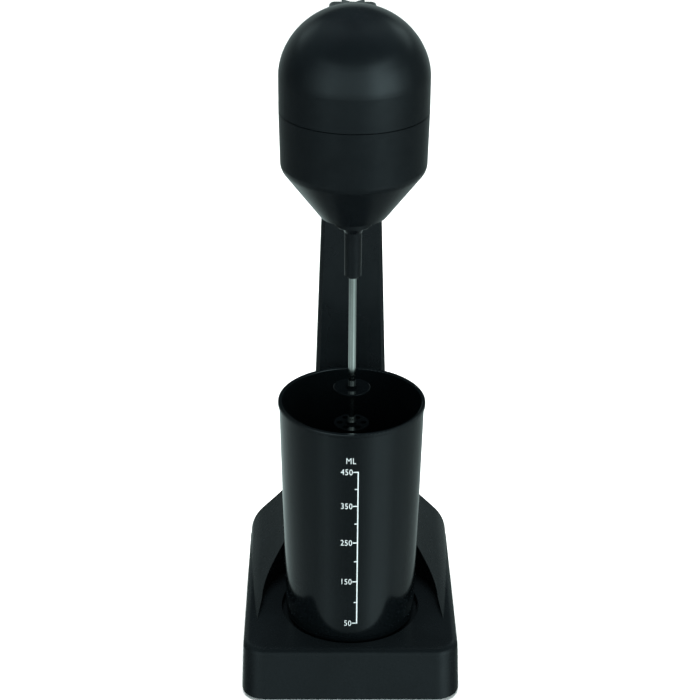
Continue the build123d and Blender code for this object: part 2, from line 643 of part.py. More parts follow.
# ---------------------------------------------------------------- motor
with BuildPart() as motor_stator:
    with BuildSketch(level(STACK_BOTTOM)):
        Circle(STATOR_RADIUS)
        Circle(STATOR_BORE, mode=Mode.SUBTRACT)
        with Locations((0, -BOLT_REACH), (0, BOLT_REACH)):
            Circle(BOLT_HOLE, mode=Mode.SUBTRACT)
    extrude(amount=STACK_TOP - STACK_BOTTOM)
save(motor_stator, "motor_stator")


def section_at(angle):
    """Upright plane through the spindle axis, turned about it from the right-hand side."""
    return Plane(origin=(0, SPINDLE_Y, 0), x_dir=Vector(1, 0, 0).rotate(Axis.Z, angle),
                 z_dir=Vector(0, -1, 0).rotate(Axis.Z, angle))


COIL_INNER = 17.5
COIL_OUTER = 24.0
COIL_HEIGHT = 5.0
COIL_SPREAD = 100.0
COIL_EDGE = 1.5
with BuildPart() as field_coils:
    for bottom in (STACK_BOTTOM - COIL_HEIGHT, STACK_TOP):
        for side in (0, 180):
            with BuildSketch(section_at(side - COIL_SPREAD / 2)):
                with Locations(((COIL_INNER + COIL_OUTER) / 2, bottom + COIL_HEIGHT / 2)):
                    RectangleRounded(COIL_OUTER - COIL_INNER, COIL_HEIGHT, COIL_EDGE)
            revolve(axis=SPINDLE_AXIS, revolution_arc=COIL_SPREAD)
save(field_coils, "field_coils")


def bracket(bar_bottom, boss_bottom, boss_top, post_bottom, post_top):
    """Motor end bracket: a cross of bars, a boss around its bush and a post at each bolt."""
    with BuildPart() as body:
        with BuildSketch(level(bar_bottom)):
            Rectangle(BRACKET_ARM, 2 * BRACKET_RADIUS)
            Rectangle(2 * BRACKET_SIDE, BRACKET_ARM)
            Circle(BRACKET_ARM)
        extrude(amount=BRACKET_THICKNESS)
        with BuildSketch(level(boss_bottom)):
            Circle(BOSS_RADIUS)
        extrude(amount=boss_top - boss_bottom)
        with BuildSketch(level(post_bottom)):
            with Locations((0, -BOLT_REACH), (0, BOLT_REACH)):
                Circle(POST_RADIUS)
        extrude(amount=post_top - post_bottom)
        with BuildSketch(level(boss_bottom)):
            Circle(BUSH_RADIUS)
        extrude(amount=boss_top - boss_bottom, mode=Mode.SUBTRACT)
        with BuildSketch(level(min(bar_bottom, post_bottom))):
            with Locations((0, -BOLT_REACH), (0, BOLT_REACH)):
                Circle(BOLT_HOLE)
        extrude(amount=max(post_top, bar_bottom + BRACKET_THICKNESS) - min(bar_bottom, post_bottom),
                mode=Mode.SUBTRACT)
    return body


BOSS_HEIGHT = 8.0
LOWER_BOSS_BOTTOM = LOWER_BRACKET_Z + BRACKET_THICKNESS - BOSS_HEIGHT
UPPER_BOSS_TOP = UPPER_BRACKET_Z + BOSS_HEIGHT
lower_motor_bracket = bracket(LOWER_BRACKET_Z, LOWER_BOSS_BOTTOM, LOWER_BRACKET_Z + BRACKET_THICKNESS,
                              LOWER_BRACKET_Z, STACK_BOTTOM)
save(lower_motor_bracket, "lower_motor_bracket")
upper_motor_bracket = bracket(UPPER_BRACKET_Z, UPPER_BRACKET_Z, UPPER_BOSS_TOP,
                              STACK_TOP, UPPER_BRACKET_Z)
save(upper_motor_bracket, "upper_motor_bracket")


def bush(bottom):
    """Sintered plain bearing for the motor shaft."""
    with BuildPart(level(bottom)) as body:
        Cylinder(BUSH_RADIUS, BOSS_HEIGHT, align=(Align.CENTER, Align.CENTER, Align.MIN))
        Cylinder(SHAFT_RADIUS + RUNNING_FIT, BOSS_HEIGHT,
                 align=(Align.CENTER, Align.CENTER, Align.MIN), mode=Mode.SUBTRACT)
    return body


lower_bearing = bush(LOWER_BOSS_BOTTOM)
save(lower_bearing, "lower_bearing")
upper_bearing = bush(UPPER_BRACKET_Z)
save(upper_bearing, "upper_bearing")

BOLT_HEAD_RADIUS = 2.8
BOLT_HEAD = 2.2
with BuildPart() as motor_bolts:
    with BuildSketch(level(LOWER_BRACKET_Z)):
        with Locations((0, -BOLT_REACH), (0, BOLT_REACH)):
            Circle(BOLT_RADIUS)
    extrude(amount=UPPER_BRACKET_Z + BRACKET_THICKNESS - LOWER_BRACKET_Z)
    with BuildSketch(level(UPPER_BRACKET_Z + BRACKET_THICKNESS)):
        with Locations((0, -BOLT_REACH), (0, BOLT_REACH)):
            RegularPolygon(BOLT_HEAD_RADIUS, 6)
    extrude(amount=BOLT_HEAD)
save(motor_bolts, "motor_bolts")

RING_INNER = 21.5
RING_OUTER = 26.5
with BuildPart() as motor_mount_ring:
    add(spun([(RING_INNER, CONE_BOTTOM_Z), (RING_OUTER, CONE_BOTTOM_Z),
              (RING_OUTER, LOWER_BRACKET_Z), (RING_INNER, LOWER_BRACKET_Z)]))
    add(head_form(WALL), mode=Mode.INTERSECT)
save(motor_mount_ring, "motor_mount_ring")

with BuildPart() as brush_holders:
    for side in (-1, 1):
        with Locations((side * (HOLDER_INNER + HOLDER_OUTER) / 2, SPINDLE_Y,
                        (COMMUTATOR_BOTTOM + UPPER_BRACKET_Z) / 2)):
            Box(HOLDER_OUTER - HOLDER_INNER, HOLDER_WIDTH, UPPER_BRACKET_Z - COMMUTATOR_BOTTOM)
        with Locations((side * (HOLDER_INNER + HOLDER_OUTER - HOLDER_BACK) / 2, SPINDLE_Y, BRUSH_Z)):
            Box(HOLDER_OUTER - HOLDER_INNER - HOLDER_BACK, BRUSH_CHANNEL, BRUSH_CHANNEL,
                mode=Mode.SUBTRACT)
save(brush_holders, "brush_holders")

with BuildPart() as carbon_brushes:
    for side in (-1, 1):
        with Locations((side * (BRUSH_TIP + BRUSH_LENGTH / 2), SPINDLE_Y, BRUSH_Z)):
            Box(BRUSH_LENGTH, BRUSH_SIZE, BRUSH_SIZE)
save(carbon_brushes, "carbon_brushes")

SPRING_START = BRUSH_TIP + BRUSH_LENGTH + SPRING_WIRE
SPRING_LENGTH = HOLDER_OUTER - HOLDER_BACK - SPRING_START - SPRING_WIRE
with BuildPart() as brush_springs:
    for side in (-1, 1):
        with BuildLine():
            coil = Helix(SPRING_PITCH, SPRING_LENGTH, SPRING_RADIUS,
                         center=(side * SPRING_START, SPINDLE_Y, BRUSH_Z), direction=(side, 0, 0))
        with BuildSketch(Plane(origin=coil @ 0, z_dir=coil % 0)):
            Circle(SPRING_WIRE)
        sweep(path=coil, is_frenet=True)
save(brush_springs, "brush_springs")

# ---------------------------------------------------------------- rotor
with BuildPart() as motor_shaft:
    with BuildSketch(level(SHAFT_BOTTOM)):
        Circle(SHAFT_RADIUS)
    extrude(amount=SHAFT_TOP - SHAFT_BOTTOM)
    chamfer(motor_shaft.faces().filter_by(GeomType.PLANE).edges(), SHAFT_CHAMFER)
save(motor_shaft, "motor_shaft")

SLOT_WIDTH = 2.2
SLOT_DEPTH = 7.0
SLOT_REACH = 3.0
with BuildPart() as armature_core:
    with BuildSketch(level(STACK_BOTTOM)):
        Circle(ARMATURE_RADIUS)
        with PolarLocations(ARMATURE_RADIUS - SLOT_REACH, ARMATURE_SLOTS):
            Rectangle(SLOT_DEPTH, SLOT_WIDTH, mode=Mode.SUBTRACT)
        Circle(SHAFT_RADIUS, mode=Mode.SUBTRACT)
    extrude(amount=STACK_TOP - STACK_BOTTOM)
save(armature_core, "armature_core")

WINDING_RADIUS = 14.0
WINDING_HEIGHT = 6.0
WINDING_EDGE = 2.0
with BuildPart() as armature_windings:
    for bottom in (STACK_BOTTOM - WINDING_HEIGHT, STACK_TOP):
        with BuildSketch(level(bottom)):
            Circle(WINDING_RADIUS)
            Circle(SHAFT_RADIUS, mode=Mode.SUBTRACT)
        extrude(amount=WINDING_HEIGHT)
    fillet(armature_windings.edges().filter_by(GeomType.CIRCLE)
           .filter_by(lambda rim: rim.radius > SHAFT_RADIUS + 1), WINDING_EDGE)
save(armature_windings, "armature_windings")

with BuildPart() as commutator:
    with BuildSketch(level(STACK_TOP + WINDING_HEIGHT)):
        Circle(COMMUTATOR_NECK)
        Circle(SHAFT_RADIUS, mode=Mode.SUBTRACT)
    extrude(amount=COMMUTATOR_BOTTOM - STACK_TOP - WINDING_HEIGHT)
    with BuildSketch(level(COMMUTATOR_BOTTOM)):
        Circle(COMMUTATOR_RADIUS)
        with PolarLocations(COMMUTATOR_RADIUS, COMMUTATOR_BARS):
            Rectangle(BAR_SLOT_DEPTH, BAR_SLOT_WIDTH, mode=Mode.SUBTRACT)
        Circle(SHAFT_RADIUS, mode=Mode.SUBTRACT)
    extrude(amount=COMMUTATOR_TOP - COMMUTATOR_BOTTOM)
save(commutator, "commutator")

FAN_HUB = 5.0
FAN_PLATE = 1.2
FAN_HEIGHT = 6.0
BLADE_THICKNESS = 1.0
BLADE_INNER = FAN_HUB - 0.4
BLADE_OUTER = FAN_RADIUS - 0.2
BLADE_HEIGHT = 3.8
with BuildPart() as cooling_fan:
    with BuildSketch(level(FAN_BOTTOM)):
        Circle(FAN_RADIUS)
    extrude(amount=FAN_PLATE)
    with BuildSketch(level(FAN_BOTTOM)):
        Circle(FAN_HUB)
    extrude(amount=FAN_HEIGHT)
    with BuildSketch(level(FAN_BOTTOM + FAN_PLATE)):
        with PolarLocations((BLADE_INNER + BLADE_OUTER) / 2, FAN_BLADES):
            Rectangle(BLADE_OUTER - BLADE_INNER, BLADE_THICKNESS)
    extrude(amount=BLADE_HEIGHT)
    with BuildSketch(level(FAN_BOTTOM)):
        Circle(SHAFT_RADIUS)
    extrude(amount=FAN_HEIGHT, mode=Mode.SUBTRACT)
save(cooling_fan, "cooling_fan")

SLEEVE_CHAMFER = 0.8
FLARE_HEIGHT = 4.0           # the sleeve flares out over this height under the flange
FLARE_LIP = 1.2
FLARE_STEP = 1.6
FLANGE_SLANT = 0.3
FLANGE_CHAMFER = 0.8
ROD_BORE = SPINDLE_RADIUS + COUPLING_FIT
with BuildPart() as drive_coupling:
    add(spun([(ROD_BORE, SLEEVE_BOTTOM), (SLEEVE_TIP_RADIUS - SLEEVE_CHAMFER, SLEEVE_BOTTOM),
              (SLEEVE_TIP_RADIUS, SLEEVE_BOTTOM + SLEEVE_CHAMFER),
              (SLEEVE_RADIUS, FLANGE_BOTTOM - FLARE_HEIGHT),
              (SLEEVE_RADIUS + FLARE_STEP, FLANGE_BOTTOM - FLARE_LIP),
              (FLANGE_RADIUS - FLANGE_SLANT, FLANGE_BOTTOM),
              (FLANGE_RADIUS, FLANGE_BOTTOM + FLANGE_SLANT),
              (FLANGE_RADIUS, FLANGE_TOP - FLANGE_CHAMFER),
              (FLANGE_RADIUS - FLANGE_CHAMFER, FLANGE_TOP), (HUB_RADIUS, FLANGE_TOP),
              (HUB_RADIUS, HUB_TOP), (SHAFT_RADIUS, HUB_TOP), (SHAFT_RADIUS, SHAFT_BOTTOM),
              (ROD_BORE, SHAFT_BOTTOM)]))
save(drive_coupling, "drive_coupling")

# ---------------------------------------------------------------- spindle
with BuildPart() as spindle_rod:
    with BuildSketch(level(SPINDLE_TIP)):
        Circle(SPINDLE_RADIUS)
    extrude(amount=SPINDLE_TOP - SPINDLE_TIP)
    fillet(spindle_rod.faces().filter_by(GeomType.PLANE).edges(), ROD_EDGE)
save(spindle_rod, "spindle_rod")

DISC = 1.4
DISC_HUB = 3.2
DISC_HUB_HEIGHT = 4.0
DISC_HUB_DROP = 1.0
DISC_EDGE = 0.5
with BuildPart() as splash_disc:
    add(spun([(SPINDLE_RADIUS, SPLASH_DISC_Z - DISC_HUB_DROP), (DISC_HUB, SPLASH_DISC_Z - DISC_HUB_DROP),
              (DISC_HUB, SPLASH_DISC_Z), (SPLASH_DISC_RADIUS, SPLASH_DISC_Z),
              (SPLASH_DISC_RADIUS, SPLASH_DISC_Z + DISC), (DISC_HUB, SPLASH_DISC_Z + DISC),
              (DISC_HUB, SPLASH_DISC_Z + DISC_HUB_HEIGHT - DISC_HUB_DROP),
              (SPINDLE_RADIUS, SPLASH_DISC_Z + DISC_HUB_HEIGHT - DISC_HUB_DROP)]))
    fillet(splash_disc.edges().filter_by(GeomType.CIRCLE)
           .filter_by(lambda rim: rim.radius > DISC_HUB + DISC), DISC_EDGE)
save(splash_disc, "splash_disc")

with BuildPart() as whisk_disc:
    with BuildSketch(level(WHISK_Z)):
        Circle(WHISK_RADIUS)
        with PolarLocations((DISC_HUB + WHISK_RADIUS) / 2, WHISK_HOLES):
            Circle(WHISK_HOLE, mode=Mode.SUBTRACT)
    extrude(amount=DISC)
    with BuildSketch(level(WHISK_Z - WHISK_HUB_DROP)):
        Circle(DISC_HUB)
    extrude(amount=DISC_HUB_HEIGHT)
    with BuildSketch(level(WHISK_Z - WHISK_HUB_DROP)):
        Circle(SPINDLE_RADIUS)
    extrude(amount=DISC_HUB_HEIGHT, mode=Mode.SUBTRACT)
save(whisk_disc, "whisk_disc")

# ---------------------------------------------------------------- cup
CUP_FOOT_EDGE = 4.0
CUP_LIP = 0.7
CUP_INNER_FOOT = CUP_FOOT_RADIUS - CUP_WALL
CUP_LIP_HEIGHT = 2.4
CUP_RIM_EDGE = 0.6
with BuildPart() as mixing_cup:
    with BuildSketch(SECTION):
        with BuildLine():
            bottom = Line((0, CUP_FLOOR_Z), (CUP_FOOT_RADIUS - CUP_FOOT_EDGE, CUP_FLOOR_Z))
            edge = TangentArc(bottom @ 1, (CUP_FOOT_RADIUS, CUP_FLOOR_Z + CUP_FOOT_EDGE), tangent=(1, 0))
            wall = Line(edge @ 1, (CUP_RIM_RADIUS - CUP_LIP, CUP_RIM_Z - CUP_LIP_HEIGHT))
            lip = Polyline(wall @ 1, (CUP_RIM_RADIUS, CUP_RIM_Z - CUP_LIP_HEIGHT + CUP_LIP),
                           (CUP_RIM_RADIUS, CUP_RIM_Z))
            rim = Line(lip @ 1, (CUP_RIM_RADIUS - CUP_WALL - CUP_LIP, CUP_RIM_Z))
            inner = Line(rim @ 1, (CUP_INNER_FOOT, CUP_FLOOR_Z + CUP_BASE + CUP_FOOT_EDGE))
            heel = TangentArc(inner @ 1, (CUP_INNER_FOOT - CUP_FOOT_EDGE, CUP_FLOOR_Z + CUP_BASE),
                              tangent=(0, -1))
            Line(heel @ 1, (0, CUP_FLOOR_Z + CUP_BASE))
            Line((0, CUP_FLOOR_Z + CUP_BASE), (0, CUP_FLOOR_Z))
        make_face()
    revolve(axis=SPINDLE_AXIS)
    fillet(mixing_cup.edges().group_by(Axis.Z)[-1], CUP_RIM_EDGE)
save(mixing_cup, "mixing_cup")
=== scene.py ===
import json
import math
import bpy
from mathutils import Matrix, Vector


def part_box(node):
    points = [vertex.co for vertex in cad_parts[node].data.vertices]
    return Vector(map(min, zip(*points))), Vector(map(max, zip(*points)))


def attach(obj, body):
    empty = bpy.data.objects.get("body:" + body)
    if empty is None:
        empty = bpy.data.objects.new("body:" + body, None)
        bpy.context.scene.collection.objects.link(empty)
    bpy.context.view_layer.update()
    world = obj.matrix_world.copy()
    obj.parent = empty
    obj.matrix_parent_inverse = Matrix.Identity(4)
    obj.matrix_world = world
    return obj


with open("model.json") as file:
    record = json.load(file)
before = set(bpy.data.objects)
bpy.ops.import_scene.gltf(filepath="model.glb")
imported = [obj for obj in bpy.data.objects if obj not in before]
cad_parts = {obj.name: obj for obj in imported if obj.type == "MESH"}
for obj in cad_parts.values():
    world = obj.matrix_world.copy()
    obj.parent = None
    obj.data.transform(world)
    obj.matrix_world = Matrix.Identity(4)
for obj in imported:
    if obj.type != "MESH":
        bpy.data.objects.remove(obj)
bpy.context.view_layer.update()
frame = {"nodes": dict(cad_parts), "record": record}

# ---------------------------------------------------------------- places read from the frame
cup_low, cup_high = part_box("mixing_cup")
AXIS_X = (cup_low.x + cup_high.x) / 2
AXIS_Y = (cup_low.y + cup_high.y) / 2
MM = 0.001


# ---------------------------------------------------------------- camera
CAMERA_AZIMUTH = math.radians(0.884)      # the camera stands slightly to the left
CAMERA_DISTANCE = 0.892                   # level distance from the spindle axis
CAMERA_HEIGHT = 0.630
CAMERA_PITCH = math.radians(26.16)
CAMERA_YAW = math.radians(0.81)
CAMERA_ROLL = math.radians(0.469)
CAMERA_LENS = 95.6
SENSOR_WIDTH = 36.0
VIEW_LIMIT = 50.0


def make_camera():
    data = bpy.data.cameras.new("camera")
    data.lens = CAMERA_LENS
    data.sensor_width = SENSOR_WIDTH
    data.clip_end = VIEW_LIMIT
    camera = bpy.data.objects.new("camera", data)
    bpy.context.scene.collection.objects.link(camera)
    place = Vector((AXIS_X - CAMERA_DISTANCE * math.sin(CAMERA_AZIMUTH),
                    AXIS_Y - CAMERA_DISTANCE * math.cos(CAMERA_AZIMUTH), CAMERA_HEIGHT))
    turn = (Matrix.Rotation(-CAMERA_YAW, 4, "Z")
            @ Matrix.Rotation(math.pi / 2 - CAMERA_PITCH, 4, "X")
            @ Matrix.Rotation(CAMERA_ROLL, 4, "Z"))
    camera.matrix_world = Matrix.Translation(place) @ turn
    bpy.context.scene.camera = camera


make_camera()


# ---------------------------------------------------------------- materials
FLOW_SCALE = 28.0            # cycles per metre of the flow marks in moulded plastic
GLOSS_SCALE = 160.0
SHADE_SPREAD = 0.14          # how far the flow marks lighten and darken the colour
GRAIN_STRENGTH = 0.06
MARK_SCALE = 420.0           # cycles per metre of turning and grinding marks
MARK_DEPTH = 0.00001
INK_PATCH_SCALE = 900.0
INK_PATCH_DEPTH = 0.000008


def blank_material(name):
    """A new node material and its shader node."""
    material = bpy.data.materials.new(name)
    material.use_nodes = True
    return material, material.node_tree, material.node_tree.nodes["Principled BSDF"]


def noise(tree, scale, detail=2.0, distortion=0.0):
    """Noise in the object's own coordinates, in cycles per metre."""
    coords = tree.nodes.new("ShaderNodeTexCoord")
    node = tree.nodes.new("ShaderNodeTexNoise")
    node.inputs["Scale"].default_value = scale
    node.inputs["Detail"].default_value = detail
    node.inputs["Distortion"].default_value = distortion
    tree.links.new(coords.outputs["Object"], node.inputs["Vector"])
    return node


def ramp(tree, source, low, high, low_at=0.3, high_at=0.7):
    """Maps a value to a range of colours or greys."""
    node = tree.nodes.new("ShaderNodeValToRGB")
    node.color_ramp.elements[0].position = low_at
    node.color_ramp.elements[1].position = high_at
    node.color_ramp.elements[0].color = low
    node.color_ramp.elements[1].color = high
    tree.links.new(source, node.inputs["Fac"])
    return node


def grey(value):
    return (value, value, value, 1.0)


def bump(tree, shader, source, strength, distance):
    """Adds a bump from a height value to a shader, after any bump already there."""
    node = tree.nodes.new("ShaderNodeBump")
    node.inputs["Strength"].default_value = strength
    node.inputs["Distance"].default_value = distance
    tree.links.new(source, node.inputs["Height"])
    old = shader.inputs["Normal"].links
    if old:
        tree.links.new(old[0].from_socket, node.inputs["Normal"])
    tree.links.new(node.outputs["Normal"], shader.inputs["Normal"])


GLOSS_TINT = (0.87, 0.93, 1.0, 1.0)      # black plastic throws back slightly cool light


def moulded_plastic(name, colour, roughness, spread=0.05, grain=1500.0, grain_depth=0.000005, ior=1.33):
    """Injection-moulded plastic: faint flow marks, uneven gloss and a fine spark-eroded grain."""
    material, tree, shader = blank_material(name)
    flow = noise(tree, FLOW_SCALE, 3.0, 0.6)
    dark = tuple(channel * (1 - SHADE_SPREAD) for channel in colour) + (1.0,)
    light = tuple(channel * (1 + SHADE_SPREAD) for channel in colour) + (1.0,)
    tree.links.new(ramp(tree, flow.outputs["Fac"], dark, light).outputs["Color"],
                   shader.inputs["Base Color"])
    gloss = noise(tree, GLOSS_SCALE, 4.0)
    tree.links.new(ramp(tree, gloss.outputs["Fac"], grey(roughness - spread), grey(roughness + spread))
                   .outputs["Color"], shader.inputs["Roughness"])
    texture = noise(tree, grain, 2.0)
    bump(tree, shader, texture.outputs["Fac"], GRAIN_STRENGTH, grain_depth)
    shader.inputs["IOR"].default_value = ior
    shader.inputs["Specular Tint"].default_value = GLOSS_TINT
    return material


def bare_metal(name, colour, roughness, streak=None, spread=0.06, relief=0.2):
    """Metal with fine turning or grinding marks across the streak axis."""
    material, tree, shader = blank_material(name)
    shader.inputs["Metallic"].default_value = 1.0
    coords = tree.nodes.new("ShaderNodeTexCoord")
    mapping = tree.nodes.new("ShaderNodeMapping")
    mapping.inputs["Scale"].default_value = streak or (1.0, 1.0, 12.0)
    tree.links.new(coords.outputs["Object"], mapping.inputs["Vector"])
    marks = tree.nodes.new("ShaderNodeTexNoise")
    marks.inputs["Scale"].default_value = MARK_SCALE
    marks.inputs["Detail"].default_value = 3.0
    tree.links.new(mapping.outputs["Vector"], marks.inputs["Vector"])
    dark = tuple(channel * 0.88 for channel in colour) + (1.0,)
    light = tuple(min(channel * 1.08, 1.0) for channel in colour) + (1.0,)
    tree.links.new(ramp(tree, marks.outputs["Fac"], dark, light).outputs["Color"],
                   shader.inputs["Base Color"])
    tree.links.new(ramp(tree, marks.outputs["Fac"], grey(roughness - spread), grey(roughness + spread))
                   .outputs["Color"], shader.inputs["Roughness"])
    bump(tree, shader, marks.outputs["Fac"], relief, MARK_DEPTH)
    return material


def white_print(name):
    """Screen-printed ink, slightly uneven."""
    material, tree, shader = blank_material(name)
    patches = noise(tree, INK_PATCH_SCALE, 3.0)
    tree.links.new(ramp(tree, patches.outputs["Fac"], (0.60, 0.66, 0.68, 1.0), (0.74, 0.79, 0.80, 1.0))
                   .outputs["Color"], shader.inputs["Base Color"])
    shader.inputs["Roughness"].default_value = 0.45
    bump(tree, shader, patches.outputs["Fac"], 0.2, INK_PATCH_DEPTH)
    return material


BLACK = (0.0030, 0.0043, 0.0052)
casing = moulded_plastic("satin_black_casing", BLACK, 0.24, 0.03, ior=1.32)
# base and column front: lighter blacks than the casing's, painted light, a brighter tone standing in for
# light these faces lack
base_casing_painted_lighter = moulded_plastic("satin_black_base_painted_lighter", (0.0036, 0.0050, 0.0058), 0.26, 0.03, ior=1.22)
column_casing_painted_lighter = moulded_plastic("satin_black_column_painted_lighter", (0.0050, 0.0066, 0.0076), 0.24, 0.03, ior=1.32)
cup_plastic = moulded_plastic("gloss_black_cup", (0.0020, 0.0030, 0.0036), 0.13, 0.02,
                              grain=1400.0, grain_depth=0.000006, ior=1.40)
trim = moulded_plastic("gloss_black_trim", (0.0030, 0.0040, 0.0048), 0.15, 0.03, ior=1.40)
disc_plastic = moulded_plastic("high_gloss_disc", (0.0012, 0.0018, 0.0022), 0.10, 0.02,
                               grain=900.0, grain_depth=0.000002, ior=1.16)
plate_plastic = moulded_plastic("textured_base_plate", (0.022, 0.023, 0.024), 0.55, 0.06,
                                grain=1200.0, grain_depth=0.00003)
rubber = moulded_plastic("matt_rubber", (0.018, 0.018, 0.018), 0.72, 0.08, grain_depth=0.00003, ior=1.5)
stainless = bare_metal("polished_stainless", (0.80, 0.86, 0.84), 0.12, (0.4, 0.4, 0.1), 0.02, 0.03)
ground = bare_metal("ground_steel", (0.56, 0.57, 0.58), 0.25)
screw_steel = bare_metal("zinc_plated_steel", (0.50, 0.51, 0.53), 0.32)
laminations = bare_metal("lamination_stack", (0.30, 0.31, 0.33), 0.45, (0.2, 0.2, 40.0))
copper_wire = bare_metal("varnished_copper_wire", (0.62, 0.26, 0.12), 0.35, (6.0, 6.0, 1.0))
copper_bars = bare_metal("turned_copper", (0.80, 0.43, 0.27), 0.28)
die_cast = bare_metal("die_cast_bracket", (0.52, 0.53, 0.55), 0.42, (1.0, 1.0, 1.0))
bronze = bare_metal("sintered_bronze", (0.50, 0.34, 0.18), 0.48, (1.0, 1.0, 1.0))
cast_iron = bare_metal("cast_ballast", (0.16, 0.16, 0.165), 0.6, (1.0, 1.0, 1.0))
phenolic = moulded_plastic("brown_phenolic", (0.10, 0.05, 0.03), 0.4)
carbon = moulded_plastic("brush_carbon", (0.03, 0.03, 0.032), 0.5)
nylon = moulded_plastic("natural_nylon", (0.70, 0.70, 0.66), 0.42)
capacitor = moulded_plastic("capacitor_case", (0.62, 0.42, 0.05), 0.35)
fan_nylon = moulded_plastic("grey_fan_nylon", (0.22, 0.23, 0.24), 0.45)
ink = white_print("white_scale_ink")

SLOT_MATERIALS = {
    "black_casing": casing, "black_cup": cup_plastic, "black_trim": trim,
    "black_gloss_disc": disc_plastic, "black_base_plate": plate_plastic, "black_rubber": rubber,
    "cast_ballast": cast_iron, "screw_steel": screw_steel, "ground_steel": ground,
    "stainless_rod": stainless, "lamination_steel": laminations, "copper_winding": copper_wire,
    "copper_bars": copper_bars, "zinc_bracket": die_cast, "bronze_bush": bronze,
    "phenolic_holder": phenolic, "brush_carbon": carbon, "white_nylon": nylon,
    "capacitor_yellow": capacitor, "grey_fan": fan_nylon,
}


# the base moulding has a gloss of its own; both it and the column front shell take a lighter black than the
# casing, painted light standing in for light these faces lack
NODE_MATERIALS_PAINTED_LIGHTER = {"base_shell": base_casing_painted_lighter, "column_front_shell": column_casing_painted_lighter}


def dress_cad_nodes():
    """Gives every CAD node the finished material of its slot, or for the base and column front shells a
    lighter copy with painted light.
    """
    for part in frame["record"]["subparts"]:
        node = frame["nodes"][part["node"]]
        for slot in node.material_slots:
            slot.material = NODE_MATERIALS_PAINTED_LIGHTER.get(part["node"], SLOT_MATERIALS[part["material_slot"]])


dress_cad_nodes()


# ---------------------------------------------------------------- printed scale on the cup
SCALE_MARKS = {450: 138.9, 400: 128.3, 350: 117.7, 300: 106.5, 250: 94.4,
               200: 82.3, 150: 69.2, 100: 55.5, 50: 41.7}
INK_LIFT = 0.00006
LINE_WIDTH = 0.0006
MAJOR_TICK = 0.0023
MINOR_TICK = 0.0014
DIGIT_HEIGHT = 0.0036
TITLE_HEIGHT = 0.0037
LINE_X = 0.0032
TITLE_Z = 0.1458
TITLE_RIGHT = 0.0021
DIGIT_SQUEEZE = 0.8          # the numerals are a condensed face
LABEL_GAP = 0.0005
DIGIT_WEIGHT = -0.00002      # thins the strokes of the built-in face
TITLE_WEIGHT = -0.00004
CAP_SHARE = 0.70             # height of a capital as a share of the type size
LETTER_SPACE = 1.08
LINE_ROWS = 24               # the upright line bends with the wall's taper
WALL_TOP_RADIUS = 39.3 * MM  # outer radius of the cup's straight wall, under its lip
WALL_FOOT_RADIUS = 36.3 * MM
WALL_TOP_DROP = 2.4 * MM     # where that wall ends below the rim
WALL_FOOT_RISE = 4.0 * MM    # where it starts above the foot


def cup_radius(z):
    """Outer radius of the cup's tapered wall at a height."""
    wall_low = cup_low.z + WALL_FOOT_RISE
    wall_high = cup_high.z - WALL_TOP_DROP
    share = (z - wall_low) / (wall_high - wall_low)
    return WALL_FOOT_RADIUS + (WALL_TOP_RADIUS - WALL_FOOT_RADIUS) * share


def wrap_on_cup(piece):
    """Bends a flat mesh (x across, y = height) round the front of the cup, just proud of its wall."""
    for vertex in piece.data.vertices:
        radius = cup_radius(vertex.co.y) + INK_LIFT
        angle = vertex.co.x / radius
        vertex.co = Vector((AXIS_X + radius * math.sin(angle), AXIS_Y - radius * math.cos(angle),
                            vertex.co.y))


def add_mesh(name, vertices, faces, material):
    mesh = bpy.data.meshes.new(name)
    mesh.from_pydata(vertices, [], faces)
    mesh.materials.append(material)
    piece = bpy.data.objects.new(name, mesh)
    bpy.context.scene.collection.objects.link(piece)
    return piece


def flat_bar(vertices, faces, left, right, low, high, rows=1):
    """Adds a thin upright or level printed bar to a list of vertices and faces."""
    start = len(vertices)
    for row in range(rows + 1):
        z = low + (high - low) * row / rows
        vertices += [(left, z, 0.0), (right, z, 0.0)]
    for row in range(rows):
        a = start + 2 * row
        faces.append((a, a + 1, a + 3, a + 2))


def flat_text(name, body, height, right, middle, weight):
    """A filled text outline as a flat mesh, right-aligned, centred on a height."""
    curve = bpy.data.curves.new(name, "FONT")
    curve.body = body
    curve.size = height / CAP_SHARE
    curve.align_x = "RIGHT"
    curve.space_character = LETTER_SPACE
    curve.offset = weight
    curve.resolution_u = 4
    text = bpy.data.objects.new(name, curve)
    bpy.context.scene.collection.objects.link(text)
    mesh = bpy.data.meshes.new_from_object(text)
    bpy.data.objects.remove(text)
    low = min(v.co.y for v in mesh.vertices)
    high = max(v.co.y for v in mesh.vertices)
    for vertex in mesh.vertices:
        vertex.co.x = vertex.co.x * DIGIT_SQUEEZE + right
        vertex.co.y += middle - (low + high) / 2
        vertex.co.z = 0.0
    piece = bpy.data.objects.new(name, mesh)
    bpy.context.scene.collection.objects.link(piece)
    return piece


